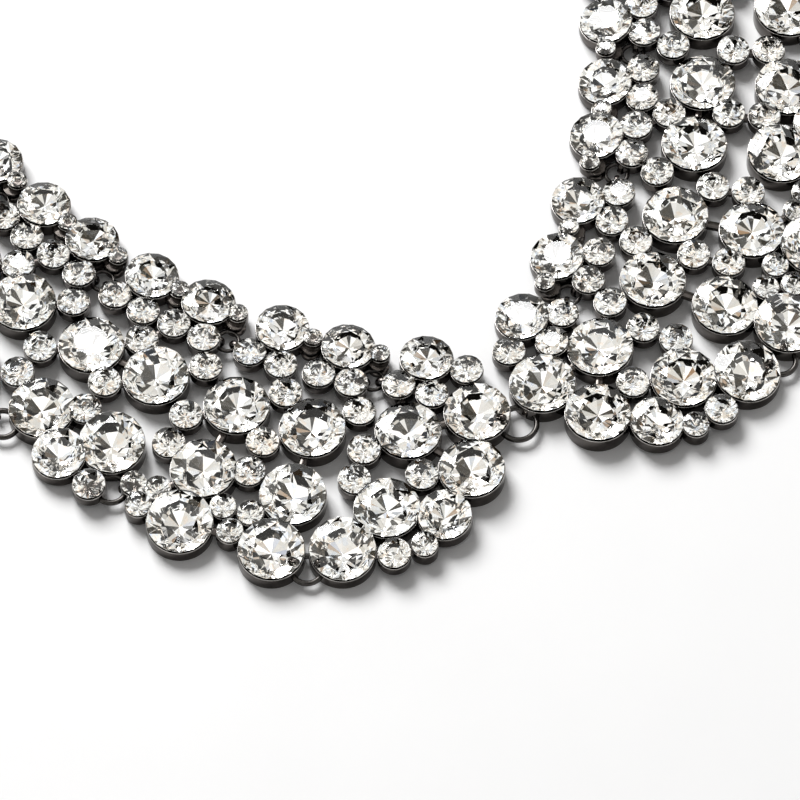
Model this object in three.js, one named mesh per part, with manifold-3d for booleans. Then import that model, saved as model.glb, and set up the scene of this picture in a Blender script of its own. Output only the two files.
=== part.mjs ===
// Collar-shaped bib necklace of metal castings set with round stones, laid flat.
// Millimetres, +Z up. X = 0 is the plane of symmetry, +Y runs from the front of the neck to the nape.
// Two mirrored lobes of six castings meet at one ring in front; a chain and clasp close the loop behind.

import * as THREE from 'three';
import { mergeVertices } from 'three/addons/utils/BufferGeometryUtils.js';
import Module from 'manifold-3d';

const wasm = await Module();
wasm.setup();

// ---- driving dimensions -------------------------------------------------------------------------

// The neckline of the left lobe is an arc. A place on a lobe is a station (degrees round that arc,
// from the front of the neck) and a distance outwards from the neckline.
const NECKLINE_RADIUS = 85.7;
const NECKLINE_CENTRE = { x: 40.9, y: 75.2 };

// Cups: outer radius, number of facets, levels of the bottom and the rim, and whether the stone's
// crown stands above the rim. A boss is a plain stud that stands under a tiny cup.
const RIM_LEVEL = 2.7;
const CUP = {
  large: { radius: 4.12, sides: 8, bottom: 0, top: RIM_LEVEL, crown: true },
  mid: { radius: 3.35, sides: 8, bottom: 0.4, top: RIM_LEVEL, crown: true },
  medium: { radius: 2.05, sides: 6, bottom: 0.8, top: RIM_LEVEL, crown: false },
  small: { radius: 1.65, sides: 6, bottom: 0.3, top: RIM_LEVEL, crown: false },
  tiny: { radius: 1.25, sides: 6, bottom: 0.8, top: RIM_LEVEL, crown: false },
  boss: { radius: 1.35, sides: 6, bottom: 0, top: 1.9, crown: false },
};
const CROWN_HEIGHT_SHARE = 0.23; // of the cup's radius
const TABLE_SHARE = 0.55; // table radius over the cup's radius
const EDGE_SLOPE = 0.14; // of the rims at both edges of a casting, which face away from its middle
const TILT_SCATTER = 0.045; // slope by which one rim differs from the next
const SCATTER_PHASE = { across: 2.4, along: 3.7 }; // radians from one stone to the next

// level: of a bar's middle. reach: the gaps that a bar spans, and the widest between two large cups.
const BAR = { width: 1.1, height: 0.95, level: 1.55, leastReach: 0.05, reach: 0.62, largeReach: 1.6 };
const EYELET = { hole: 0.82, outer: 1.05, thickness: 0.6 };
const STEM = { width: 0.8, height: 1.3, level: 1.25 };
const CLEARANCE = 0.3; // round every loose ring

// Jump rings lie flat: middle radius and wire radius.
const FRONT_RING = { middle: 2.3, wire: 0.36 };
const OUTER_RING = { middle: 1.9, wire: 0.36 };
const NECK_RING = { middle: 1.4, wire: 0.26 };
const END_RING = { middle: 1.65, wire: 0.3 };
const RING_LEVEL = 1.05;
const RING_FACETS = { section: 5, round: 12 };
const ROOM_SIDES = 8; // facets of the room that the castings leave round a ring

const CHAIN_RADIUS = 1.1;
const CLASP = { eyeX: -6.1, eyeRadius: 1.6, eyeHole: 0.8, hookX: 4.7, hookRadius: 3, thickness: 2.2 };
const CLASP_OPENING = { x: 4.3, halfLength: 2, halfWidth: 1.5 };

// ---- stone charts: station from the column's centre line in degrees, distance outwards in mm ------

// Every column of stones starts alike at the neckline and has its own end at the outer edge.
const COLUMN = [
  { name: 'neck', turn: 0, out: 0, size: 'mid' },
  { name: 'tiny', turn: -2.7, out: 0, size: 'tiny' },
  { name: 'boss', turn: -2.7, out: 0.8, size: 'boss' },
  { name: 'm1', turn: -1.1, out: 4.9, size: 'medium' },
  { name: 'm2', turn: 1.6, out: 4.7, size: 'medium' },
  { name: 'mL', turn: -2.3, out: 8.6, size: 'medium' },
  { name: 'big1', turn: 0.7, out: 12.4, size: 'large' },
  { name: 'm3', turn: 3.7, out: 16.1, size: 'medium' },
  { name: 'm4', turn: 3.8, out: 20.6, size: 'medium' },
];

const WIDE_COLUMN = [
  ...COLUMN,
  { name: 'big2', turn: 0.5, out: 22.1, size: 'large' },
  { name: 'big3', turn: 0.7, out: 30.2, size: 'large' },
  { name: 's1', turn: 2.7, out: 26.1, size: 'small' },
  { name: 's2', turn: 4.5, out: 26.3, size: 'small' },
  { name: 's3', turn: 3.5, out: 29.3, size: 'small' },
];

const SECOND_WIDE_COLUMN = [
  ...COLUMN,
  { name: 'big2', turn: 0.9, out: 22.2, size: 'large' },
  { name: 'big3', turn: 0.8, out: 30.2, size: 'large' },
  { name: 's1', turn: 3.0, out: 27.0, size: 'small' },
  { name: 's2', turn: 4.5, out: 27.6, size: 'small' },
  { name: 's3', turn: 3.6, out: 30.0, size: 'small' },
];

const SHORT_COLUMN = [
  ...COLUMN,
  { name: 'big2', turn: 1.0, out: 23.3, size: 'large' },
  { name: 'end', turn: 0.9, out: 29.8, size: 'medium' },
  { name: 'side', turn: 3.6, out: 27.7, size: 'mid' },
];

const LARGE_END_COLUMN = [...COLUMN, { name: 'big2', turn: 0.9, out: 23.2, size: 'large' }];
const MID_END_COLUMN = [...COLUMN, { name: 'big2', turn: 0.8, out: 21.6, size: 'mid' }];
const NARROW_COLUMN = COLUMN.slice(0, 8);
const SMALL_END_COLUMN = [...NARROW_COLUMN, { name: 'big2', turn: 0.9, out: 18.8, size: 'medium' }];

const LAST_COLUMN = [
  ...COLUMN.slice(0, 5),
  { name: 'big1', turn: 0.6, out: 10.4, size: 'mid' },
  { name: 'side', turn: 3.7, out: 7.4, size: 'medium' },
  { name: 'corner', turn: 3.7, out: 3.2, size: 'small' },
];

// The casting at the front of the neck has one column and a rounded front corner.
const FRONT_COLUMN = [
  { name: 'neck', turn: 0, out: 0, size: 'mid' },
  { name: 'front', turn: -3.4, out: 1.2, size: 'medium' },
  { name: 'm1', turn: -0.8, out: 5.0, size: 'medium' },
  { name: 'm2', turn: 1.9, out: 4.2, size: 'medium' },
  { name: 'corner1', turn: -4.4, out: 7.2, size: 'large' },
  { name: 'big1', turn: 0.6, out: 10.6, size: 'large' },
  { name: 'm3', turn: 3.5, out: 14.1, size: 'medium' },
  { name: 'm4', turn: 3.7, out: 18.5, size: 'medium' },
  { name: 'corner2', turn: -4.2, out: 15.2, size: 'large' },
  { name: 'm5', turn: -0.8, out: 16.6, size: 'medium' },
  { name: 'big2', turn: 1.2, out: 21.8, size: 'large' },
  { name: 'corner3', turn: -2.6, out: 22.0, size: 'mid' },
  { name: 'm6', turn: -1.5, out: 26.3, size: 'small' },
  { name: 'm7', turn: 0.3, out: 28.0, size: 'medium' },
  { name: 'big3', turn: 3.5, out: 28.4, size: 'large' },
];

// Castings of one lobe from front to back: station of the first column, degrees to the second column,
// and the swing that turns a casting about its own middle.
const CASTINGS = [
  { station: 33.7, pitch: 0, swing: 0, columns: [FRONT_COLUMN] },
  { station: 40.5, pitch: 5.8, swing: -1.5, columns: [WIDE_COLUMN, SECOND_WIDE_COLUMN] },
  { station: 52.7, pitch: 5.4, swing: 0.7, columns: [SHORT_COLUMN, LARGE_END_COLUMN] },
  { station: 64.35, pitch: 5.4, swing: 0.4, columns: [LARGE_END_COLUMN, MID_END_COLUMN] },
  { station: 75.8, pitch: 5.5, swing: 0, columns: [MID_END_COLUMN, SMALL_END_COLUMN] },
  { station: 87.4, pitch: 5.5, swing: 0, columns: [NARROW_COLUMN, LAST_COLUMN] },
];
const SWING_PIVOT = 12; // mm out from the neckline

// Where the outer edges of neighbouring castings are joined, and the cups that carry the eyelets.
const OUTER_JOINTS = [
  { station: 39.1, out: 31.3, before: '0.big3', after: '0.big3' },
  { station: 52.3, out: 28.5, before: '1.s2', after: '0.end' },
  { station: 60.6, out: 27.2, before: '1.big2', after: '0.big2' },
  { station: 73.5, out: 23.5, before: '1.m4', after: '0.big2' },
  { station: 86.3, out: 18.4, before: '1.m3', after: '0.big1' },
];
const NECK_JOINT_OUT = 3.4; // from the neckline to the small rings, outwards of the tiny cups
const FRONT_RING_CENTRE = new THREE.Vector2(-0.4, -8.9);
const END_PLACE = { station: 98.4, out: 7.0 };

// The chain's route on the left, from the lobe's end ring to the clasp.
const CHAIN_ROUTE = [
  [-51.0, 91.0],
  [-51.6, 101],
  [-51.2, 111],
  [-49.2, 121],
  [-45.4, 130.5],
  [-39.6, 139.4],
  [-31.6, 147.2],
  [-21.4, 153],
  [-8.1, 156.2],
];
const CHAIN_STEPS = 18; // along each half of the chain

// ---- helpers --------------------------------------------------------------------------------------

const degrees = THREE.MathUtils.degToRad;
const WELD = 1e-3; // points closer than this are one

const gunmetal = () => new THREE.MeshStandardMaterial({ color: 0x34312f, roughness: 0.32, metalness: 1 });

// A point of the left lobe.
function place(station, out) {
  const radius = NECKLINE_RADIUS + out;
  const angle = degrees(station);
  return new THREE.Vector2(
    NECKLINE_CENTRE.x - radius * Math.sin(angle),
    NECKLINE_CENTRE.y - radius * Math.cos(angle),
  );
}

// A three.js geometry as a solid that can be joined and cut.
function toSolid(geometry, matrix = new THREE.Matrix4()) {
  const bare = new THREE.BufferGeometry();
  bare.setAttribute('position', geometry.getAttribute('position').clone());
  if (geometry.index) bare.setIndex(geometry.index.clone());
  bare.applyMatrix4(matrix);
  const merged = mergeVertices(bare, WELD);
  const corners = merged.index.array;
  const triangles = [];
  for (let i = 0; i < corners.length; i += 3) {
    const [a, b, c] = [corners[i], corners[i + 1], corners[i + 2]];
    if (a !== b && b !== c && c !== a) triangles.push(a, b, c);
  }
  const vertProperties = new Float32Array(merged.getAttribute('position').array);
  const triVerts = new Uint32Array(triangles);
  return new wasm.Manifold(new wasm.Mesh({ numProp: 3, vertProperties, triVerts }));
}

function toGeometry(solid) {
  const { vertProperties, triVerts, numProp } = solid.getMesh();
  const geometry = new THREE.BufferGeometry();
  const positions = new Float32Array((vertProperties.length / numProp) * 3);
  for (let i = 0; i < positions.length / 3; i++) {
    for (let axis = 0; axis < 3; axis++) positions[i * 3 + axis] = vertProperties[i * numProp + axis];
  }
  geometry.setAttribute('position', new THREE.BufferAttribute(positions, 3));
  geometry.setIndex(new THREE.BufferAttribute(new Uint32Array(triVerts), 1));
  return geometry;
}

function toMesh(name, solid) {
  const geometry = toGeometry(solid);
  geometry.computeVertexNormals();
  const mesh = new THREE.Mesh(geometry, gunmetal());
  mesh.name = name;
  return mesh;
}

const joined = (solids) => solids.reduce((whole, next) => whole.add(next));

// The one body of a welded solid, with any void sealed inside it filled.
function filled(solid) {
  const parts = toSolid(toGeometry(solid)).decompose();
  return parts.reduce((body, part) => (part.volume() > body.volume() ? part : body));
}

// ---- one casting ----------------------------------------------------------------------------------

// Places every stone of a casting: its centre and the slope of its rim.
function layOut({ station, pitch, swing, columns }) {
  const pivot = place(station + pitch / 2, SWING_PIVOT);
  const stones = columns.flatMap((chart, column) =>
    chart.map(({ name, turn, out, size }) => ({
      name: `${column}.${name}`,
      out,
      station: station + column * pitch + turn,
      size,
      ...CUP[size],
    })),
  );
  const innerEdge = Math.min(...stones.map((s) => s.out - s.radius));
  const outerEdge = Math.max(...stones.map((s) => s.out + s.radius));
  const width = outerEdge - innerEdge;
  stones.forEach((stone, index) => {
    const share = (stone.out - innerEdge) / width;
    const scatter = TILT_SCATTER * Math.sin(SCATTER_PHASE.across * index + station);
    const slope = EDGE_SLOPE * (1 - 2 * share) + scatter;
    const sideSlope = TILT_SCATTER * Math.cos(SCATTER_PHASE.along * index + station);
    const outward = place(stone.station, 1).sub(place(stone.station, 0));
    outward.rotateAround(new THREE.Vector2(), degrees(swing));
    stone.centre = place(stone.station, stone.out).rotateAround(pivot, degrees(swing));
    stone.slopeX = slope * outward.x - sideSlope * outward.y;
    stone.slopeY = slope * outward.y + sideSlope * outward.x;
  });
  return stones;
}

// A round cup with a sloping rim, closed by the crown of its stone. Walls tilt more the higher they are.
function cup({ centre, radius, sides, bottom, top, crown, slopeX, slopeY }) {
  const corner = radius / Math.sqrt(Math.cos(Math.PI / sides));
  const outline = [
    [0, bottom],
    [corner, bottom],
    [corner, top],
  ];
  if (crown) outline.push([corner * TABLE_SHARE, top + radius * CROWN_HEIGHT_SHARE]);
  outline.push([0, outline.at(-1)[1]]);
  const profile = outline.map(([x, y]) => new THREE.Vector2(x, y));
  const geometry = new THREE.LatheGeometry(profile, sides);
  geometry.rotateX(Math.PI / 2);
  const position = geometry.getAttribute('position');
  for (let i = 0; i < position.count; i++) {
    const rise = slopeX * position.getX(i) + slopeY * position.getY(i);
    const share = Math.min(1, position.getZ(i) / RIM_LEVEL);
    position.setZ(i, position.getZ(i) + rise * share);
  }
  return toSolid(geometry, new THREE.Matrix4().makeTranslation(centre.x, centre.y, 0));
}

// A straight bar of rectangular section between two points of the plan.
function bar(from, to, { width, height }, level) {
  const along = to.clone().sub(from);
  const matrix = new THREE.Matrix4().makeRotationZ(along.angle());
  matrix.setPosition((from.x + to.x) / 2, (from.y + to.y) / 2, level);
  return toSolid(new THREE.BoxGeometry(along.length(), width, height), matrix);
}

// Bars wherever two cups of a casting stand close together without meeting.
function bars(stones) {
  const solids = [];
  stones.forEach((a, i) =>
    stones.slice(i + 1).forEach((b) => {
      if (a.size === 'boss' || b.size === 'boss') return;
      const gap = a.centre.distanceTo(b.centre) - a.radius - b.radius;
      const bothLarge = a.size === 'large' && b.size === 'large';
      const reach = bothLarge ? BAR.largeReach : BAR.reach;
      if (gap < BAR.leastReach || gap > reach) return;
      solids.push(bar(a.centre, b.centre, BAR, BAR.level));
    }),
  );
  return solids;
}

// An upright eyelet that a flat ring passes through, on a stem to its cup.
function eyelet(ring, cupCentre) {
  const outward = cupCentre.clone().sub(ring.centre).normalize();
  const middle = ring.centre.clone().addScaledVector(outward, ring.middle);
  const shape = new THREE.Shape().absarc(0, 0, EYELET.outer, 0, 2 * Math.PI);
  shape.holes.push(new THREE.Path().absarc(0, 0, EYELET.hole, 0, 2 * Math.PI));
  const washer = new THREE.ExtrudeGeometry(shape, {
    depth: EYELET.thickness,
    bevelEnabled: false,
    curveSegments: 3,
  });
  washer.translate(0, 0, -EYELET.thickness / 2);
  const matrix = new THREE.Matrix4().makeBasis(
    new THREE.Vector3(outward.x, outward.y, 0),
    new THREE.Vector3(0, 0, 1),
    new THREE.Vector3(outward.y, -outward.x, 0),
  );
  matrix.setPosition(middle.x, middle.y, RING_LEVEL);
  const stemStart = middle.clone().addScaledVector(outward, (EYELET.hole + EYELET.outer) / 2);
  return toSolid(washer, matrix).add(bar(stemStart, cupCentre, STEM, STEM.level));
}

// The room cut from the cups so that a ring lies free.
function ringRoom({ centre, middle, wire }) {
  const radius = (middle + wire + CLEARANCE) / Math.cos(Math.PI / ROOM_SIDES);
  const top = RING_LEVEL + wire + CLEARANCE;
  const well = new THREE.CylinderGeometry(radius, radius, 2 * top, ROOM_SIDES);
  well.rotateX(Math.PI / 2);
  return toSolid(well, new THREE.Matrix4().makeTranslation(centre.x, centre.y, 0));
}

function casting(stones, links) {
  let solid = joined([...stones.map(cup), ...bars(stones)]);
  links.forEach(({ ring }) => (solid = solid.subtract(ringRoom(ring))));
  links.forEach(({ ring, carrier }) => {
    solid = solid.add(eyelet(ring, stones.find((s) => s.name === carrier).centre));
  });
  return filled(solid);
}

// ---- lobes ----------------------------------------------------------------------------------------

function jumpRing(name, { centre, middle, wire }) {
  const geometry = new THREE.TorusGeometry(middle, wire, RING_FACETS.section, RING_FACETS.round);
  const matrix = new THREE.Matrix4().makeTranslation(centre.x, centre.y, RING_LEVEL);
  return toMesh(name, toSolid(geometry, matrix));
}

const mirrored = (point) => new THREE.Vector2(-point.x, point.y);

// All castings and rings of one lobe. side is -1 on the left, +1 on the right.
function lobe(label, side) {
  const toSide = (point) => (side < 0 ? point : mirrored(point));
  const layouts = CASTINGS.map((spec) =>
    layOut(spec).map((stone) => ({
      ...stone,
      centre: toSide(stone.centre),
      slopeX: -side * stone.slopeX,
    })),
  );
  const links = layouts.map(() => []);
  const meshes = [];
  OUTER_JOINTS.forEach(({ station, out, before, after }, index) => {
    const ring = { ...OUTER_RING, centre: toSide(place(station, out)) };
    links[index].push({ ring, carrier: before });
    links[index + 1].push({ ring, carrier: after });
    meshes.push(jumpRing(`outer_ring_${label}_${index + 1}`, ring));

    const tiny = layouts[index + 1].find((stone) => stone.name === '0.tiny');
    const neckRing = { ...NECK_RING, centre: toSide(place(tiny.station, NECK_JOINT_OUT)) };
    links[index].push({ ring: neckRing, carrier: index ? '1.m2' : '0.m2' });
    links[index + 1].push({ ring: neckRing, carrier: '0.m1' });
    meshes.push(jumpRing(`neck_ring_${label}_${index + 1}`, neckRing));
  });

  const front = { ...FRONT_RING, centre: FRONT_RING_CENTRE };
  links[0].push({ ring: front, carrier: '0.corner1' });

  const end = { ...END_RING, centre: toSide(place(END_PLACE.station, END_PLACE.out)) };
  links.at(-1).push({ ring: end, carrier: '1.side' });
  meshes.push(jumpRing(`end_ring_${label}`, end));

  layouts.forEach((stones, index) => {
    meshes.push(toMesh(`panel_${label}_${index + 1}`, casting(stones, links[index])));
  });
  return meshes;
}

// ---- chain and clasp ------------------------------------------------------------------------------

function chain(label, side) {
  const points = CHAIN_ROUTE.map(([x, y]) => new THREE.Vector3(side * -x, y, CHAIN_RADIUS));
  const section = new THREE.Shape().absarc(0, 0, CHAIN_RADIUS, 0, 2 * Math.PI);
  const geometry = new THREE.ExtrudeGeometry(section, {
    steps: CHAIN_STEPS,
    curveSegments: 4,
    extrudePath: new THREE.CatmullRomCurve3(points),
  });
  return toMesh(`chain_${label}`, toSolid(geometry));
}

// A plain lobster clasp: a drop-shaped plate with an eye at one end and the hook's opening at the other.
function clasp() {
  const { eyeX, eyeRadius, eyeHole, hookX, hookRadius, thickness } = CLASP;
  const { x, halfLength, halfWidth } = CLASP_OPENING;
  const lean = Math.acos((hookRadius - eyeRadius) / (hookX - eyeX));
  const outline = new THREE.Shape();
  outline.absarc(eyeX, 0, eyeRadius, Math.PI - lean, Math.PI + lean);
  outline.absarc(hookX, 0, hookRadius, lean - Math.PI, Math.PI - lean);
  outline.holes.push(new THREE.Path().absarc(eyeX, 0, eyeHole, 0, 2 * Math.PI));
  outline.holes.push(new THREE.Path().absellipse(x, 0, halfLength, halfWidth, 0, 2 * Math.PI));
  const geometry = new THREE.ExtrudeGeometry(outline, {
    depth: thickness,
    bevelEnabled: false,
    curveSegments: 7,
  });
  const backY = CHAIN_ROUTE.at(-1)[1];
  return toMesh('clasp', toSolid(geometry, new THREE.Matrix4().makeTranslation(0, backY, 0)));
}

// ---- the necklace ---------------------------------------------------------------------------------

const necklace = new THREE.Group();
necklace.name = 'bib_necklace';
necklace.add(jumpRing('front_ring', { ...FRONT_RING, centre: FRONT_RING_CENTRE }));
necklace.add(...lobe('left', -1), ...lobe('right', 1));
necklace.add(chain('left', -1), chain('right', 1), clasp());

// The origin is the middle of the underside of the whole necklace.
const bounds = new THREE.Box3().setFromObject(necklace);
const middle = bounds.getCenter(new THREE.Vector3());
necklace.children.forEach((mesh) => mesh.geometry.translate(-middle.x, -middle.y, -bounds.min.z));

export default necklace;
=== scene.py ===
"""Looks of the bib necklace: castings, faceted stones, jump rings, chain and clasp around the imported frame.

Lengths are in millimetres up to the point where a mesh is made, and in metres from there on.
"""

import math
import random

import bmesh
import bpy
from mathutils import Matrix, Vector


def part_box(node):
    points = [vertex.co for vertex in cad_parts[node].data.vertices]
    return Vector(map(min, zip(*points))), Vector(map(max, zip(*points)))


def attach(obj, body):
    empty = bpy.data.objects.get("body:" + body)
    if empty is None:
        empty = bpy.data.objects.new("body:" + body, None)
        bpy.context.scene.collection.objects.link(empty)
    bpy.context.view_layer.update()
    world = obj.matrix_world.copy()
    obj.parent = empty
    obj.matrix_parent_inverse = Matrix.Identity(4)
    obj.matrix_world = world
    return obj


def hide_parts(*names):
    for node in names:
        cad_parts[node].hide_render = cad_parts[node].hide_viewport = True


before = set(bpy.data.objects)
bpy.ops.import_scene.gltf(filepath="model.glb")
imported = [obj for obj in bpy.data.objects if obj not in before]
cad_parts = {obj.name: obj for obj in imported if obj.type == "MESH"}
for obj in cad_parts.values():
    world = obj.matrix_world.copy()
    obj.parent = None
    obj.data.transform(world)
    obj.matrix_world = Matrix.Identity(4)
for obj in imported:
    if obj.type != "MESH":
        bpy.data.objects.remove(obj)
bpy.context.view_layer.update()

MM = 0.001
TURN = 2 * math.pi
SIDES = {"left": -1, "right": 1}

# ---- the plan of the necklace, as the frame has it ----------------------------------------------

NECKLINE_RADIUS = 85.7
NECKLINE_CENTRE = Vector((40.9, 75.2))
SWING_PIVOT = 12  # distance outwards of the point that a casting swings about
CUP_RADIUS = {"large": 4.12, "mid": 3.35, "medium": 2.05, "small": 1.65, "tiny": 1.25, "boss": 1.35}
CUP_BOTTOM = {"large": 0.0, "mid": 0.4, "medium": 0.8, "small": 0.3, "tiny": 0.8, "boss": 0.0}
RIM_LEVEL = 2.7  # level of the stones' girdles
EDGE_SLOPE = 0.14  # of the rims at the inner and outer edges of a casting
TILT_SCATTER = 0.045  # by which a rim's slope strays from its casting's dome
SCATTER_PHASE = {"across": 2.4, "along": 3.7}  # radians from one stone to the next

# A bar joins two cups whose gap lies between least and reach, or large_reach where both are large.
BAR = {"width": 1.1, "height": 0.95, "level": 1.55, "least": -0.05, "reach": 0.62, "large_reach": 1.6}
BAR_ROOT = 0.4  # by which a bar or stem runs into its cup
EYELET = {"middle": 0.93, "wall": 0.12, "half_width": 0.3}
STEM = {"width": 0.8, "height": 1.3, "level": 1.25, "least": 0.05}
RING_LEVEL = 1.05
RING_SPLIT = 0.12  # gap in a ring's wire

# split_at is where the gap is, in radians round from +X. On outer and neck rings it is multiplied by the
# joint's number, so that no two gaps point the same way.
FRONT_RING = {"middle": 2.3, "wire": 0.36, "split_at": 2.2}
OUTER_RING = {"middle": 1.9, "wire": 0.36, "split_at": 1.9}
NECK_RING = {"middle": 1.4, "wire": 0.26, "split_at": 2.3}
END_RING = {"middle": 1.65, "wire": 0.3, "split_at": 1.0}

FRONT_RING_CENTRE = Vector((-0.4, -8.9))
END_PLACE = {"station": 98.4, "out": 7.0}
NECK_JOINT_OUT = 3.4
CLASP_Y = 156.2

# A stone: name, degrees from the column's centre line, distance outwards, size. A boss is a plain stud
# that stands under a tiny cup and carries no stone.
COLUMN = [
    ("neck", 0, 0, "mid"),
    ("tiny", -2.7, 0, "tiny"),
    ("boss", -2.7, 0.8, "boss"),
    ("m1", -1.1, 4.9, "medium"),
    ("m2", 1.6, 4.7, "medium"),
    ("mL", -2.3, 8.6, "medium"),
    ("big1", 0.7, 12.4, "large"),
    ("m3", 3.7, 16.1, "medium"),
    ("m4", 3.8, 20.6, "medium"),
]
WIDE_COLUMN = COLUMN + [
    ("big2", 0.5, 22.1, "large"),
    ("big3", 0.7, 30.2, "large"),
    ("s1", 2.7, 26.1, "small"),
    ("s2", 4.5, 26.3, "small"),
    ("s3", 3.5, 29.3, "small"),
]
SECOND_WIDE_COLUMN = COLUMN + [
    ("big2", 0.9, 22.2, "large"),
    ("big3", 0.8, 30.2, "large"),
    ("s1", 3.0, 27.0, "small"),
    ("s2", 4.5, 27.6, "small"),
    ("s3", 3.6, 30.0, "small"),
]
SHORT_COLUMN = COLUMN + [
    ("big2", 1.0, 23.3, "large"),
    ("end", 0.9, 29.8, "medium"),
    ("side", 3.6, 27.7, "mid"),
]
LARGE_END_COLUMN = COLUMN + [("big2", 0.9, 23.2, "large")]
MID_END_COLUMN = COLUMN + [("big2", 0.8, 21.6, "mid")]
NARROW_COLUMN = COLUMN[:8]
SMALL_END_COLUMN = NARROW_COLUMN + [("big2", 0.9, 18.8, "medium")]
LAST_COLUMN = COLUMN[:5] + [
    ("big1", 0.6, 10.4, "mid"),
    ("side", 3.7, 7.4, "medium"),
    ("corner", 3.7, 3.2, "small"),
]
FRONT_COLUMN = [
    ("neck", 0, 0, "mid"),
    ("front", -3.4, 1.2, "medium"),
    ("m1", -0.8, 5.0, "medium"),
    ("m2", 1.9, 4.2, "medium"),
    ("corner1", -4.4, 7.2, "large"),
    ("big1", 0.6, 10.6, "large"),
    ("m3", 3.5, 14.1, "medium"),
    ("m4", 3.7, 18.5, "medium"),
    ("corner2", -4.2, 15.2, "large"),
    ("m5", -0.8, 16.6, "medium"),
    ("big2", 1.2, 21.8, "large"),
    ("corner3", -2.6, 22.0, "mid"),
    ("m6", -1.5, 26.3, "small"),
    ("m7", 0.3, 28.0, "medium"),
    ("big3", 3.5, 28.4, "large"),
]

# A casting: station of its first column, degrees to the second, swing about its middle, columns.
CASTINGS = [
    (33.7, 0, 0, [FRONT_COLUMN]),
    (40.5, 5.8, -1.5, [WIDE_COLUMN, SECOND_WIDE_COLUMN]),
    (52.7, 5.4, 0.7, [SHORT_COLUMN, LARGE_END_COLUMN]),
    (64.35, 5.4, 0.4, [LARGE_END_COLUMN, MID_END_COLUMN]),
    (75.8, 5.5, 0, [MID_END_COLUMN, SMALL_END_COLUMN]),
    (87.4, 5.5, 0, [NARROW_COLUMN, LAST_COLUMN]),
]

# An outer joint: station, distance outwards, cup before it, cup after it.
OUTER_JOINTS = [
    (39.1, 31.3, "0.big3", "0.big3"),
    (52.3, 28.5, "1.s2", "0.end"),
    (60.6, 27.2, "1.big2", "0.big2"),
    (73.5, 23.5, "1.m4", "0.big2"),
    (86.3, 18.4, "1.m3", "0.big1"),
]

LINK = {"length": 3.0, "width": 2.0, "wire": 0.24, "level": 0.9, "lean": 45}  # lean: degrees from flat
CHAIN_START = 1.3  # by which the links run past the route's first point, towards the end ring
CLASP = {"eye": 1.6, "hook": 3.0, "half_height": 1.1, "round_edge": 0.45, "eye_hole": 0.7}
CLASP_OPENING = {"shift": 0.3, "half_length": 2.2, "half_width": 1.7}

# The left half of the chain, from the end ring to the clasp.
CHAIN_ROUTE = [
    (-51.0, 91.0),
    (-51.6, 101),
    (-51.2, 111),
    (-49.2, 121),
    (-45.4, 130.5),
    (-39.6, 139.4),
    (-31.6, 147.2),
    (-21.4, 153),
    (-8.1, 156.2),
]

# ---- fine sizes that only the looks have --------------------------------------------------------

CUP_STEPS = {"large": 56, "mid": 48, "medium": 36, "small": 32, "tiny": 28}
CUP_PROUD = 0.05  # round cups stand this far outside the flats of their solids
BOSS = {"radius": 1.3, "waist": 0.85, "low": 0.6, "high": 1.5, "top": 1.88, "steps": 32}  # waist: low to high
RIM = 0.1  # width of a cup's rim
RIM_DROP = 0.45  # from the stone's girdle down to the rim
BEAD_STEPS = 6  # across the round top of the rim
BAR_STEPS = 16  # round a bar's section
EYELET_STEPS = {"round": 28, "section": 12}
RING_STEPS = {"round": 64, "section": 16}
LINK_STEPS = {"round": 24, "section": 8}
CLASP_STEPS = {"arc": 28, "opening": 32, "edge": 4}
EDGE = 0.04  # rounding of the foot's edge
OVERHANG = 0.07  # from the cup's wall in to the stone's girdle
CUP_FLOOR = 0.05
CULET_CLEARANCE = 0.1  # from the cup's bottom
CROWN_SHARE = 0.22
TABLE_SHARE = 0.54
STAR_SHARE = 0.78
PAVILION_SHARE = 1.0
KNEE_SHARE = 0.5  # where the pavilion turns shallower when the cup has no room for its full depth
CUT_SCATTER = 0.05  # by which the facets' inner corners stray, over the stone's radius
GIRDLE = 0.1
STONE_FOLD = 8


# ---- helpers: layout ----------------------------------------------------------------------------


def frame_origin():
    """Where the plan's origin lies in the frame, in millimetres."""
    clasp_low, clasp_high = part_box("clasp")
    left_low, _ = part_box("chain_left")
    _, right_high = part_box("chain_right")
    middle_x = (left_low.x + right_high.x) / 2
    return Vector((middle_x, (clasp_low.y + clasp_high.y) / 2)) / MM - Vector((0, CLASP_Y))


ORIGIN = frame_origin()


def place(station, out):
    """A point of the left lobe, from the plan's origin."""
    radius = NECKLINE_RADIUS + out
    angle = math.radians(station)
    return NECKLINE_CENTRE - radius * Vector((math.sin(angle), math.cos(angle)))


def turned(vector, angle):
    return Matrix.Rotation(math.radians(angle), 2) @ vector


def to_side(point, side):
    """A point of the left lobe on either side, in the frame."""
    return Vector((point.x if side < 0 else -point.x, point.y)) + ORIGIN


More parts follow.
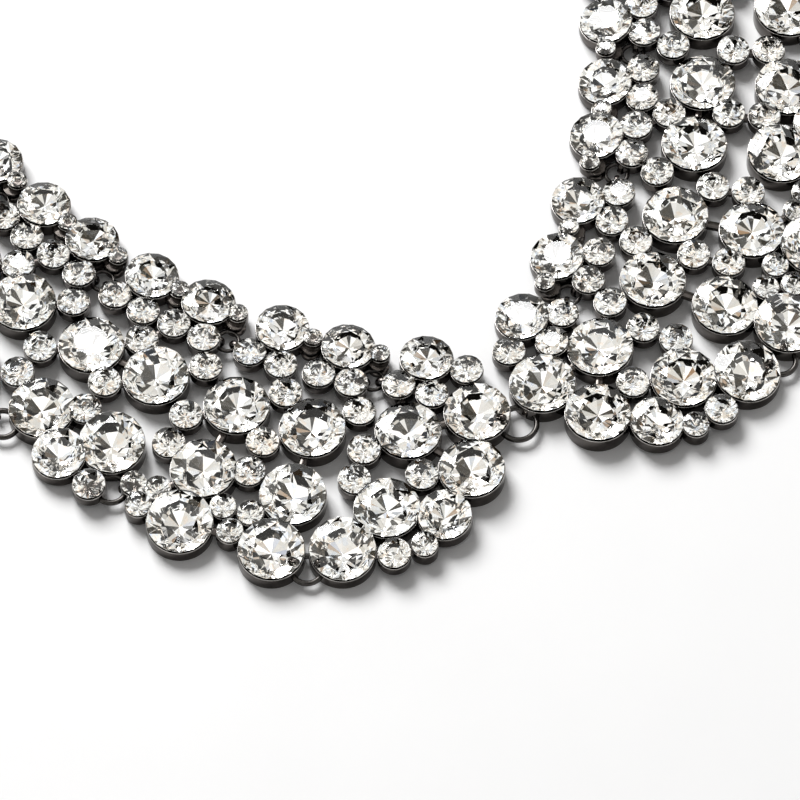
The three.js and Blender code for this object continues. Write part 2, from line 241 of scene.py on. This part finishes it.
def lay_out(casting, side):
    """Every stone of a casting: centre and rim slopes."""
    station, pitch, swing, columns = casting
    pivot = place(station + pitch / 2, SWING_PIVOT)
    stones = []
    for index, column in enumerate(columns):
        for name, turn, out, size in column:
            at = station + index * pitch + turn
            stones.append({"name": f"{index}.{name}", "station": at, "out": out, "size": size})
    inner = min(s["out"] - CUP_RADIUS[s["size"]] for s in stones)
    outer = max(s["out"] + CUP_RADIUS[s["size"]] for s in stones)
    width = outer - inner
    for index, stone in enumerate(stones):
        share = (stone["out"] - inner) / width
        scatter = TILT_SCATTER * math.sin(SCATTER_PHASE["across"] * index + station)
        slope = EDGE_SLOPE * (1 - 2 * share) + scatter
        side_slope = TILT_SCATTER * math.cos(SCATTER_PHASE["along"] * index + station)
        outward = turned(place(stone["station"], 1) - place(stone["station"], 0), swing)
        centre = place(stone["station"], stone["out"])
        stone["centre"] = to_side(pivot + turned(centre - pivot, swing), side)
        stone["radius"] = CUP_RADIUS[stone["size"]]
        stone["bottom"] = CUP_BOTTOM[stone["size"]]
        slope_x = slope * outward.x - side_slope * outward.y
        stone["slope"] = Vector((-side * slope_x, slope * outward.y + side_slope * outward.x))
    return stones


# ---- helpers: meshes ----------------------------------------------------------------------------


class Shells:
    """Closed shells gathered into one mesh. Points in millimetres."""

    def __init__(self):
        self.points = []
        self.faces = []
        self.slots = []

    def add(self, points, faces, slots=None):
        base = len(self.points)
        self.points += [Vector(p) for p in points]
        self.faces += [[base + i for i in face] for face in faces]
        self.slots += slots or [0] * len(faces)

    def mesh(self, name):
        mesh = bpy.data.meshes.new(name)
        mesh.from_pydata([p * MM for p in self.points], [], self.faces)
        mesh.polygons.foreach_set("material_index", self.slots)
        mesh.validate()
        return mesh


def add_object(name, mesh, materials, crease=None):
    """Links a mesh as an object. Edges sharper than crease stay sharp; with none, every face is flat."""
    bm = bmesh.new()
    bm.from_mesh(mesh)
    bmesh.ops.recalc_face_normals(bm, faces=bm.faces)
    for face in bm.faces:
        face.smooth = crease is not None
    if crease is not None:
        for edge in bm.edges:
            edge.smooth = len(edge.link_faces) == 2 and edge.calc_face_angle() < math.radians(crease)
    bm.to_mesh(mesh)
    bm.free()
    for material in materials:
        mesh.materials.append(material)
    piece = bpy.data.objects.new(name, mesh)
    bpy.context.scene.collection.objects.link(piece)
    return piece


def lathe(profile, steps, position):
    """A closed shell from a profile that starts and ends on the axis. position maps (x, y, z) to a point."""
    points, faces = [position(0, 0, profile[0][1])], []
    for radius, z in profile[1:-1]:
        for step in range(steps):
            angle = TURN * step / steps
            points.append(position(radius * math.cos(angle), radius * math.sin(angle), z))
    points.append(position(0, 0, profile[-1][1]))
    rings = len(profile) - 2
    for step in range(steps):
        after = (step + 1) % steps
        faces.append([0, 1 + after, 1 + step])
        for ring in range(rings - 1):
            low, high = 1 + ring * steps, 1 + (ring + 1) * steps
            faces.append([low + step, low + after, high + after, high + step])
        last = 1 + (rings - 1) * steps
        faces.append([len(points) - 1, last + step, last + after])
    return points, faces


def sweep(route, section, closed=True):
    """A closed shell of a section carried along frames (point, side, up). Open routes get flat ends."""
    points, faces = [], []
    count = len(section)
    for point, side, up in route:
        points += [point + side * a + up * b for a, b in section]
    spans = len(route) if closed else len(route) - 1
    for k in range(spans):
        here, there = k * count, ((k + 1) % len(route)) * count
        for i in range(count):
            j = (i + 1) % count
            faces.append([here + i, here + j, there + j, there + i])
    if not closed:
        faces.append(list(range(count))[::-1])
        faces.append([(len(route) - 1) * count + i for i in range(count)])
    return points, faces


def circle_section(radius, sides):
    return [(radius * math.cos(TURN * i / sides), radius * math.sin(TURN * i / sides)) for i in range(sides)]


def oval_section(half_a, half_b, sides, power=3):
    """A rounded rectangle as a superellipse."""
    section = []
    for i in range(sides):
        c, s = math.cos(TURN * i / sides), math.sin(TURN * i / sides)
        a = half_a * math.copysign(abs(c) ** (2 / power), c)
        b = half_b * math.copysign(abs(s) ** (2 / power), s)
        section.append((a, b))
    return section


def loop_route(centre, axis_a, axis_b, radius, steps, start=0.0, sweep_angle=TURN):
    """Frames round a circle in the plane of two axes."""
    normal = axis_a.cross(axis_b)
    closed = sweep_angle == TURN
    spans = steps if closed else steps - 1
    route = []
    for k in range(steps):
        angle = start + sweep_angle * k / spans
        outward = axis_a * math.cos(angle) + axis_b * math.sin(angle)
        route.append((centre + outward * radius, outward, normal))
    return route


def smooth(points, steps=12):
    """Points along a Catmull-Rom curve through the given ones."""
    padded = [2 * points[0] - points[1]] + points + [2 * points[-1] - points[-2]]
    curve = []
    for a, b, c, d in zip(padded, padded[1:], padded[2:], padded[3:]):
        for k in range(steps):
            t = k / steps
            curve.append(0.5 * (2 * b + (c - a) * t + (2 * a - 5 * b + 4 * c - d) * t * t
                                + (3 * b - a - 3 * c + d) * t ** 3))
    return curve + [points[-1]]


def spaced(curve, pitch):
    """Points at equal distances along a curve, with the pitch trimmed to fit its length."""
    lengths = [(b - a).length for a, b in zip(curve, curve[1:])]
    total = sum(lengths)
    count = round(total / pitch)
    stations, walked, segment = [], 0.0, 0
    for k in range(count + 1):
        target = min(total * k / count, total - 1e-6)
        while walked + lengths[segment] < target:
            walked += lengths[segment]
            segment += 1
        share = (target - walked) / lengths[segment]
        stations.append(curve[segment].lerp(curve[segment + 1], share))
    return stations


# ---- materials ----------------------------------------------------------------------------------


def new_material(name):
    material = bpy.data.materials.new(name)
    material.use_nodes = True
    nodes = material.node_tree.nodes
    nodes.clear()
    shader = nodes.new("ShaderNodeBsdfPrincipled")
    output = nodes.new("ShaderNodeOutputMaterial")
    material.node_tree.links.new(shader.outputs["BSDF"], output.inputs["Surface"])
    return material, shader


def noise(material, scale, detail=3.0, roughness=0.55):
    """A noise texture over the object's own coordinates, with scale in cells a metre."""
    nodes, links = material.node_tree.nodes, material.node_tree.links
    coordinates = nodes.new("ShaderNodeTexCoord")
    texture = nodes.new("ShaderNodeTexNoise")
    texture.inputs["Scale"].default_value = scale
    texture.inputs["Detail"].default_value = detail
    texture.inputs["Roughness"].default_value = roughness
    links.new(coordinates.outputs["Object"], texture.inputs["Vector"])
    return texture


def ramp(owner, source, stops):
    """A colour ramp in a material or world."""
    node = owner.node_tree.nodes.new("ShaderNodeValToRGB")
    while len(node.color_ramp.elements) < len(stops):
        node.color_ramp.elements.new(0.5)
    for element, (position, colour) in zip(node.color_ramp.elements, stops):
        element.position = position
        element.color = (*colour, 1)
    owner.node_tree.links.new(source, node.inputs["Fac"])
    return node.outputs["Color"]


def spread(material, source, low, high):
    """Maps a 0 to 1 value onto a range."""
    node = material.node_tree.nodes.new("ShaderNodeMapRange")
    node.inputs["To Min"].default_value = low
    node.inputs["To Max"].default_value = high
    material.node_tree.links.new(source, node.inputs["Value"])
    return node.outputs["Result"]


def bump(material, shader, source, distance, strength):
    node = material.node_tree.nodes.new("ShaderNodeBump")
    node.inputs["Distance"].default_value = distance
    node.inputs["Strength"].default_value = strength
    material.node_tree.links.new(source, node.inputs["Height"])
    material.node_tree.links.new(node.outputs["Normal"], shader.inputs["Normal"])


def gunmetal(name, dark, light, rough_low, rough_high, bump_distance):
    """Glossy grey-brown plating over a slightly uneven casting, duller in patches."""
    material, shader = new_material(name)
    links = material.node_tree.links
    patches = noise(material, 420.0)
    grain = noise(material, 3200.0, detail=2.0)
    colour = ramp(material, patches.outputs["Fac"], [(0.3, dark), (0.7, light)])
    links.new(colour, shader.inputs["Base Color"])
    links.new(spread(material, grain.outputs["Fac"], rough_low, rough_high), shader.inputs["Roughness"])
    bump(material, shader, patches.outputs["Fac"], bump_distance, 0.5)
    shader.inputs["Metallic"].default_value = 1.0
    return material


def crystal():
    """Clear lead glass, faintly tinted cooler and warmer from place to place."""
    material, shader = new_material("crystal")
    links = material.node_tree.links
    tint = noise(material, 260.0, detail=1.0)
    stops = [(0.35, (0.97, 0.985, 1.0)), (0.65, (1.0, 0.985, 0.965))]
    links.new(ramp(material, tint.outputs["Fac"], stops), shader.inputs["Base Color"])
    shader.inputs["Transmission Weight"].default_value = 1.0
    shader.inputs["Roughness"].default_value = 0.0
    shader.inputs["IOR"].default_value = 1.56
    return material


def foil():
    """Silver foil behind the stones, with faint blue and amber breaks of colour."""
    material, shader = new_material("foil")
    links = material.node_tree.links
    colours = noise(material, 900.0, detail=1.0)
    stops = [
        (0.28, (0.86, 0.9, 0.96)),
        (0.4, (0.94, 0.94, 0.93)),
        (0.62, (0.95, 0.94, 0.92)),
        (0.7, (0.97, 0.9, 0.82)),
    ]
    links.new(ramp(material, colours.outputs["Fac"], stops), shader.inputs["Base Color"])
    shader.inputs["Metallic"].default_value = 1.0
    shader.inputs["Roughness"].default_value = 0.03
    return material


def floor_material():
    """Matt white paper sweep."""
    material, shader = new_material("paper")
    links = material.node_tree.links
    fibres = noise(material, 60.0)
    stops = [(0.0, (0.9, 0.9, 0.9)), (1.0, (0.93, 0.93, 0.93))]
    links.new(ramp(material, fibres.outputs["Fac"], stops), shader.inputs["Base Color"])
    shader.inputs["Roughness"].default_value = 0.7
    return material


CAST_METAL = gunmetal(
    "cast_gunmetal",
    dark=(0.045, 0.04, 0.037),
    light=(0.12, 0.108, 0.1),
    rough_low=0.12,
    rough_high=0.24,
    bump_distance=0.00004,
)
# Lighter metal for the rims' beads: partly worn plating, partly a painted highlight that brightens the rim
# lines.
RIM_WEAR_AND_HIGHLIGHT_METAL = gunmetal(
    "rim_wear_and_highlight_gunmetal",
    dark=(0.24, 0.23, 0.22),
    light=(0.6, 0.58, 0.56),
    rough_low=0.12,
    rough_high=0.26,
    bump_distance=0.00002,
)
RING_METAL = gunmetal(
    "ring_gunmetal",
    dark=(0.035, 0.033, 0.031),
    light=(0.06, 0.056, 0.053),
    rough_low=0.14,
    rough_high=0.24,
    bump_distance=0.00001,
)
CRYSTAL = crystal()
FOIL = foil()


# ---- castings -----------------------------------------------------------------------------------


def leaning(stone):
    """Maps a cup's own (x, y, z) to the frame: walls tilt more the higher they are."""
    slope, centre = stone["slope"], stone["centre"]

    def position(x, y, z):
        lean = min(1.0, max(0.0, z / RIM_LEVEL))
        return Vector((centre.x + x, centre.y + y, z + lean * (slope.x * x + slope.y * y)))

    return position


def stone_radius(stone):
    return stone["radius"] + CUP_PROUD - OVERHANG


def pavilion_depth(stone):
    """Depth below the girdle, kept inside the cup."""
    return min(PAVILION_SHARE * stone_radius(stone), RIM_LEVEL - stone["bottom"] - CULET_CLEARANCE)


def add_cup(shells, stone):
    """A hollow round cup whose rim is a fine bead in lighter metal than the wall: partly wear, partly a
    painted highlight along the rim.
    """
    radius, bottom = stone["radius"] + CUP_PROUD, stone["bottom"]
    bead, level = RIM / 2, RIM_LEVEL - RIM_DROP - RIM / 2
    turns = [math.pi * k / BEAD_STEPS for k in range(BEAD_STEPS + 1)]
    rim = [(radius - bead + bead * math.cos(t), level + bead * math.sin(t)) for t in turns]
    foot = [(0, bottom), (radius - EDGE, bottom), (radius, bottom + EDGE)]
    inside = [(radius - RIM, bottom + CUP_FLOOR), (0, bottom + CUP_FLOOR)]
    steps = CUP_STEPS[stone["size"]]
    points, faces = lathe(foot + rim + inside, steps, leaning(stone))
    # The bead's faces take the lighter metal: worn edge and painted highlight.
    bead_wear_and_highlight_mask = [0] * len(foot) + [1] * BEAD_STEPS + [0] * len(inside)
    shells.add(points, faces, bead_wear_and_highlight_mask * steps)


def add_boss(shells, centre):
    """The plain stud under a tiny cup, waisted where the ring beside it passes."""
    radius, waist, low, high, top = (BOSS[key] for key in ("radius", "waist", "low", "high", "top"))
    foot = [(0, 0), (radius - EDGE, 0), (radius, EDGE), (radius, low - EDGE), (radius - EDGE, low)]
    neck = [(waist, low + 2 * EDGE), (waist, high - 2 * EDGE)]
    head = [(radius - EDGE, high), (radius, high + EDGE), (radius, top - 2 * EDGE), (radius - 2 * EDGE, top)]

    def position(x, y, z):
        return Vector((centre.x + x, centre.y + y, z))

    shells.add(*lathe(foot + neck + head + [(0, top)], BOSS["steps"], position))


def add_bar(shells, start, end, size):
    """A straight bar with rounded edges between two points of the plan."""
    along = (end - start).normalized()
    side = Vector((-along.y, along.x, 0))
    up = Vector((0, 0, 1))
    route = [(Vector((p.x, p.y, size["level"])), side, up) for p in (start, end)]
    shells.add(*sweep(route, oval_section(size["width"] / 2, size["height"] / 2, BAR_STEPS), closed=False))


def add_bars(shells, stones):
    """Bars wherever two cups stand close together without meeting, from wall to wall."""
    for i, a in enumerate(stones):
        for b in stones[i + 1:]:
            along = b["centre"] - a["centre"]
            gap = along.length - a["radius"] - b["radius"]
            both_large = a["size"] == b["size"] == "large"
            if BAR["least"] <= gap <= BAR["large_reach" if both_large else "reach"]:
                along.normalize()
                start = a["centre"] + along * (a["radius"] - BAR_ROOT)
                end = b["centre"] - along * (b["radius"] - BAR_ROOT)
                add_bar(shells, start, end, BAR)


def add_eyelet(shells, ring, stone):
    """An upright rounded eyelet round the ring's wire, on a stem to its cup."""
    outward = (stone["centre"] - ring["centre"]).normalized()
    middle = ring["centre"] + outward * ring["middle"]
    centre = Vector((middle.x, middle.y, RING_LEVEL))
    axis_a, axis_b = Vector((outward.x, outward.y, 0)), Vector((0, 0, 1))
    route = loop_route(centre, axis_a, axis_b, EYELET["middle"], EYELET_STEPS["round"])
    section = oval_section(EYELET["wall"], EYELET["half_width"], EYELET_STEPS["section"], power=2.4)
    shells.add(*sweep(route, section))
    start = middle + outward * EYELET["middle"]
    end = stone["centre"] - outward * (stone["radius"] - BAR_ROOT)
    if (end - start).dot(outward) > STEM["least"]:
        add_bar(shells, start, end, STEM)


def add_stone(shells, stone, generator):
    """A brilliant-cut stone: table, stars, kites and halves above a girdle, two rows of thin facets below."""
    radius = stone_radius(stone)
    crown, depth = CROWN_SHARE * radius, pavilion_depth(stone)
    phase = generator.uniform(0, TURN)
    half = math.pi / STONE_FOLD
    fall = (STAR_SHARE * math.cos(half) - TABLE_SHARE) / (1 - TABLE_SHARE)
    knee = PAVILION_SHARE * radius * (1 - KNEE_SHARE)
    rings = [
        (TABLE_SHARE, crown, 0, 1, 0),
        (STAR_SHARE, crown * (1 - fall), half, 1, 0.5),
        (1.0, GIRDLE / 2, 0, 2, 0),
        (1.0, -GIRDLE / 2, 0, 2, 0),
        (KNEE_SHARE, -knee, 0, 2, 1),
    ]
    position = leaning(stone)
    points, starts = [], []
    for share, z, offset, fold, loose in rings:
        starts.append(len(points))
        count = STONE_FOLD * fold
        for k in range(count):
            angle = phase + offset + TURN * k / count + generator.uniform(-1, 1) * loose * CUT_SCATTER
            reach = radius * (share + generator.uniform(-1, 1) * loose * CUT_SCATTER)
            points.append(position(reach * math.cos(angle), reach * math.sin(angle), RIM_LEVEL + z))
    culet = len(points)
    points.append(position(0, 0, RIM_LEVEL - depth))
    table, star, upper, lower, bend = starts
    faces, slots = [[table + k for k in range(STONE_FOLD)]], [0]
    for k in range(STONE_FOLD):
        after, before = (k + 1) % STONE_FOLD, (k - 1) % STONE_FOLD
        g = [2 * k, 2 * k + 1, 2 * after]
        above = [
            [table + k, star + k, table + after],
            [table + k, star + before, upper + g[0]],
            [table + k, upper + g[0], star + k],
            [star + k, upper + g[0], upper + g[1]],
            [star + k, upper + g[1], upper + g[2]],
            [upper + g[0], lower + g[0], lower + g[1], upper + g[1]],
            [upper + g[1], lower + g[1], lower + g[2], upper + g[2]],
        ]
        below = []
        for a, b in ((g[0], g[1]), (g[1], g[2])):
            below += [
                [lower + a, bend + a, lower + b],
                [lower + b, bend + a, bend + b],
                [bend + a, culet, bend + b],
            ]
        faces += above + below
        slots += [0] * len(above) + [1] * len(below)
    shells.add(points, faces, slots)


def add_ring(name, ring, node, split_at):
    """A jump ring of round wire with its split, lying flat."""
    centre = Vector((ring["centre"].x, ring["centre"].y, RING_LEVEL))
    split = RING_SPLIT / ring["middle"]
    route = loop_route(
        centre,
        Vector((1, 0, 0)),
        Vector((0, 1, 0)),
        ring["middle"],
        RING_STEPS["round"],
        start=split_at + split / 2,
        sweep_angle=TURN - split,
    )
    shells = Shells()
    shells.add(*sweep(route, circle_section(ring["wire"], RING_STEPS["section"]), closed=False))
    piece = add_object(name, shells.mesh(name), [RING_METAL], crease=50)
    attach(piece, "root")
    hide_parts(node)


def build_lobe(label, side):
    """All castings, stones and rings of one lobe."""
    layouts = [lay_out(casting, side) for casting in CASTINGS]
    links = [[] for _ in layouts]
    for index, (station, out, before, after) in enumerate(OUTER_JOINTS):
        ring = {**OUTER_RING, "centre": to_side(place(station, out), side)}
        links[index].append((ring, before))
        links[index + 1].append((ring, after))
        split_at = OUTER_RING["split_at"] * index
        add_ring(f"outer_link_{label}_{index + 1}", ring, f"outer_ring_{label}_{index + 1}", split_at)
        tiny = next(s for s in layouts[index + 1] if s["name"] == "0.tiny")
        neck = {**NECK_RING, "centre": to_side(place(tiny["station"], NECK_JOINT_OUT), side)}
        links[index].append((neck, "1.m2" if index else "0.m2"))
        links[index + 1].append((neck, "0.m1"))
        split_at = NECK_RING["split_at"] * index
        add_ring(f"neck_link_{label}_{index + 1}", neck, f"neck_ring_{label}_{index + 1}", split_at)
    links[0].append(({**FRONT_RING, "centre": FRONT_RING_CENTRE + ORIGIN}, "0.corner1"))
    end = {**END_RING, "centre": to_side(place(END_PLACE["station"], END_PLACE["out"]), side)}
    links[-1].append((end, "1.side"))
    add_ring(f"end_link_{label}", end, f"end_ring_{label}", END_RING["split_at"])

    generator = random.Random(f"stones {label}")
    for index, (stones, joints) in enumerate(zip(layouts, links), start=1):
        metal, glass = Shells(), Shells()
        cups = [stone for stone in stones if stone["size"] != "boss"]
        for cup in cups:
            add_cup(metal, cup)
            add_stone(glass, cup, generator)
        for boss in [stone for stone in stones if stone["size"] == "boss"]:
            add_boss(metal, boss["centre"])
        add_bars(metal, cups)
        for ring, carrier in joints:
            add_eyelet(metal, ring, next(cup for cup in cups if cup["name"] == carrier))
        metals = [CAST_METAL, RIM_WEAR_AND_HIGHLIGHT_METAL]
        casting = add_object(f"casting_{label}_{index}", metal.mesh("casting"), metals, crease=35)
        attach(casting, "root")
        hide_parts(f"panel_{label}_{index}")
        gems = add_object(f"stones_{label}_{index}", glass.mesh("stones"), [CRYSTAL, FOIL])
        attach(gems, "root")


# ---- chain and clasp ----------------------------------------------------------------------------


def build_chain(label, side):
    """Cable-chain links, each turned a quarter from the next, along the frame's route."""
    points = [to_side(Vector(p), side) for p in CHAIN_ROUTE]
    end = to_side(place(END_PLACE["station"], END_PLACE["out"]), side)
    start = points[0] + (end - points[0]).normalized() * CHAIN_START
    route = smooth([start] + points)
    pitch = LINK["length"] - 4 * LINK["wire"]
    stations = spaced(route, pitch)
    shells = Shells()
    for index, (here, there) in enumerate(zip(stations, stations[1:])):
        middle = (here + there) / 2
        along = Vector(((there - here).x, (there - here).y, 0)).normalized()
        lean = math.radians(LINK["lean"] if index % 2 else -LINK["lean"])
        flat = Vector((-along.y, along.x, 0))
        across = flat * math.cos(lean) + Vector((0, 0, 1)) * math.sin(lean)
        centre = Vector((middle.x, middle.y, LINK["level"]))
        shells.add(*link_shell(centre, along, across))
    piece = add_object(f"chain_links_{label}", shells.mesh("chain"), [RING_METAL], crease=50)
    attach(piece, "root")
    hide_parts(f"chain_{label}")


def link_shell(centre, along, across):
    """An oval link: two half circles joined by straights."""
    wire = LINK["wire"]
    bend = LINK["width"] / 2 - wire
    straight = LINK["length"] / 2 - wire - bend
    normal = along.cross(across)
    route = []
    for k in range(LINK_STEPS["round"]):
        angle = TURN * (k + 0.5) / LINK_STEPS["round"]
        outward = along * math.cos(angle) + across * math.sin(angle)
        shift = along * math.copysign(straight, math.cos(angle))
        route.append((centre + shift + outward * bend, outward, normal))
    return sweep(route, circle_section(wire, LINK_STEPS["section"]))


def arc(centre, radius, start, end):
    steps = CLASP_STEPS["arc"]
    angles = [start + (end - start) * k / steps for k in range(steps + 1)]
    return [centre + radius * Vector((math.cos(a), math.sin(a))) for a in angles]


def add_spline(curve, points):
    spline = curve.splines.new("POLY")
    spline.points.add(len(points) - 1)
    for target, point in zip(spline.points, points):
        target.co = (point.x * MM, point.y * MM, 0, 1)
    spline.use_cyclic_u = True


def build_clasp():
    """A lobster clasp: a rounded drop with an eye and a hook opening."""
    low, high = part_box("clasp")
    low, high = low / MM, high / MM
    middle_y = (low.y + high.y) / 2
    half, edge = CLASP["half_height"], CLASP["round_edge"]
    eye = Vector((low.x + CLASP["eye"], middle_y))
    hook = Vector((high.x - CLASP["hook"], middle_y))
    curve = bpy.data.curves.new("clasp", "CURVE")
    curve.dimensions = "2D"
    curve.fill_mode = "BOTH"
    lean = math.acos((CLASP["hook"] - CLASP["eye"]) / (hook.x - eye.x))
    outline = arc(eye, CLASP["eye"] - edge, math.pi - lean, math.pi + lean)
    outline += arc(hook, CLASP["hook"] - edge, lean - math.pi, math.pi - lean)
    add_spline(curve, outline)
    add_spline(curve, arc(eye, CLASP["eye_hole"] + edge / 2, 0, TURN)[:-1])
    opening = hook - Vector((CLASP_OPENING["shift"], 0))
    angles = [TURN * k / CLASP_STEPS["opening"] for k in range(CLASP_STEPS["opening"])]
    across, along = CLASP_OPENING["half_width"], CLASP_OPENING["half_length"]
    oval = [Vector((opening.x + along * math.cos(a), opening.y + across * math.sin(a))) for a in angles]
    add_spline(curve, oval)
    curve.extrude = (half - edge) * MM
    curve.bevel_depth = edge * MM
    curve.bevel_resolution = CLASP_STEPS["edge"]
    piece = bpy.data.objects.new("clasp_curve", curve)
    piece.location = (0, 0, half * MM)
    bpy.context.scene.collection.objects.link(piece)
    bpy.context.view_layer.update()
    mesh = bpy.data.meshes.new_from_object(piece.evaluated_get(bpy.context.evaluated_depsgraph_get()))
    mesh.transform(piece.matrix_world)
    bpy.data.objects.remove(piece)
    bm = bmesh.new()
    bm.from_mesh(mesh)
    bmesh.ops.remove_doubles(bm, verts=bm.verts, dist=1e-6)
    bm.to_mesh(mesh)
    bm.free()
    mesh.materials.clear()
    body = add_object("clasp_body", mesh, [RING_METAL], crease=40)
    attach(body, "root")
    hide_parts("clasp")


# ---- floor, light and camera --------------------------------------------------------------------

CAMERA_TARGET = Vector((-12.45, -0.27)) + ORIGIN
CAMERA_LEVEL = 3.0
CAMERA_DISTANCE = 864
CAMERA_AZIMUTH = -26.7
CAMERA_ELEVATION = 60
LENS = 314
CLOTH_STRENGTH = 1.1
CLOTH_SCALE = 3.2
CAMERA_SPOT = 13  # half the angle that the camera and its stand take up, seen from the necklace, in degrees
SPOT_EDGE = 2  # degrees over which that spot fades out
SPOT_COLOUR = (0.07, 0.066, 0.06, 1)
FILL_STRENGTH = 0.27
FLOOR_HALF = 3.0  # metres


def toward(azimuth, elevation):
    """The direction of an azimuth and an elevation in degrees. Azimuth 0 looks along +Y."""
    a, e = math.radians(azimuth), math.radians(elevation)
    return Vector((math.sin(a) * math.cos(e), -math.cos(a) * math.cos(e), math.sin(e)))


def camera_direction():
    return toward(CAMERA_AZIMUTH, CAMERA_ELEVATION)


def build_camera():
    back = camera_direction()
    target = Vector((CAMERA_TARGET.x, CAMERA_TARGET.y, CAMERA_LEVEL)) * MM
    data = bpy.data.cameras.new("camera")
    data.lens = LENS
    data.clip_start = 0.01
    camera = bpy.data.objects.new("camera", data)
    camera.location = target + back * CAMERA_DISTANCE * MM
    camera.rotation_euler = back.to_track_quat("Z", "Y").to_euler()
    bpy.context.scene.collection.objects.link(camera)
    bpy.context.scene.camera = camera


def build_floor():
    bm = bmesh.new()
    bmesh.ops.create_grid(bm, x_segments=8, y_segments=8, size=FLOOR_HALF)
    mesh = bpy.data.meshes.new("floor")
    bm.to_mesh(mesh)
    bm.free()
    mesh.materials.append(floor_material())
    floor = bpy.data.objects.new("floor", mesh)
    bpy.context.scene.collection.objects.link(floor)


def area_light(name, azimuth, elevation, distance, size, power):
    """A square soft box that faces the necklace. Angles in degrees, as the camera's; lengths in metres."""
    direction = toward(azimuth, elevation)
    data = bpy.data.lights.new(name, "AREA")
    data.size = size
    data.energy = power
    light = bpy.data.objects.new(name, data)
    light.location = Vector((CAMERA_TARGET.x, CAMERA_TARGET.y, 0)) * MM + direction * distance
    light.rotation_euler = direction.to_track_quat("Z", "Y").to_euler()
    bpy.context.scene.collection.objects.link(light)


def build_world():
    """A studio: weak fill on the floor; bright cloth with gaps, and the dark camera, for what mirrors it."""
    world = bpy.data.worlds.new("studio")
    bpy.context.scene.world = world
    world.use_nodes = True
    nodes, links = world.node_tree.nodes, world.node_tree.links
    cloth = nodes["Background"]
    coordinates = nodes.new("ShaderNodeTexCoord")
    patches = nodes.new("ShaderNodeTexNoise")
    patches.inputs["Scale"].default_value = CLOTH_SCALE
    patches.inputs["Detail"].default_value = 0.0
    links.new(coordinates.outputs["Generated"], patches.inputs["Vector"])
    stops = [
        (0.385, (0.06, 0.055, 0.045)),
        (0.395, (0.5, 0.33, 0.2)),
        (0.405, (0.74, 0.72, 0.67)),
        (0.5, (0.84, 0.82, 0.79)),
        (0.515, (1.35, 1.34, 1.32)),
        (0.585, (1.35, 1.34, 1.32)),
        (0.595, (0.55, 0.62, 0.78)),
        (0.605, (0.6, 0.59, 0.56)),
        (0.66, (1.1, 1.1, 1.08)),
    ]
    facing = nodes.new("ShaderNodeVectorMath")
    facing.operation = "DOT_PRODUCT"
    links.new(coordinates.outputs["Generated"], facing.inputs[0])
    facing.inputs[1].default_value = camera_direction()
    camera_spot = nodes.new("ShaderNodeMapRange")
    camera_spot.inputs["From Min"].default_value = math.cos(math.radians(CAMERA_SPOT))
    camera_spot.inputs["From Max"].default_value = math.cos(math.radians(CAMERA_SPOT - SPOT_EDGE))
    links.new(facing.outputs["Value"], camera_spot.inputs["Value"])
    shaded = nodes.new("ShaderNodeMix")
    shaded.data_type = "RGBA"
    shaded.inputs["B"].default_value = SPOT_COLOUR
    links.new(camera_spot.outputs["Result"], shaded.inputs["Factor"])
    links.new(ramp(world, patches.outputs["Fac"], stops), shaded.inputs["A"])
    links.new(shaded.outputs["Result"], cloth.inputs["Color"])
    cloth.inputs["Strength"].default_value = CLOTH_STRENGTH
    fill = nodes.new("ShaderNodeBackground")
    fill.inputs["Color"].default_value = (1.0, 0.99, 0.98, 1)
    fill.inputs["Strength"].default_value = FILL_STRENGTH
    path = nodes.new("ShaderNodeLightPath")
    mirrored = nodes.new("ShaderNodeMath")
    mirrored.operation = "MAXIMUM"
    links.new(path.outputs["Is Glossy Ray"], mirrored.inputs[0])
    links.new(path.outputs["Is Transmission Ray"], mirrored.inputs[1])
    mix = nodes.new("ShaderNodeMixShader")
    links.new(mirrored.outputs["Value"], mix.inputs["Fac"])
    links.new(fill.outputs["Background"], mix.inputs[1])
    links.new(cloth.outputs["Background"], mix.inputs[2])
    links.new(mix.outputs["Shader"], nodes["World Output"].inputs["Surface"])


build_camera()
build_floor()
build_world()
area_light("key", azimuth=182, elevation=43, distance=1.0, size=0.5, power=13.0)

front = {**FRONT_RING, "centre": FRONT_RING_CENTRE + ORIGIN}
add_ring("front_link", front, "front_ring", FRONT_RING["split_at"])
for label, side in SIDES.items():
    build_lobe(label, side)
    build_chain(label, side)
build_clasp()

bpy.context.scene.view_settings.view_transform = "Standard"
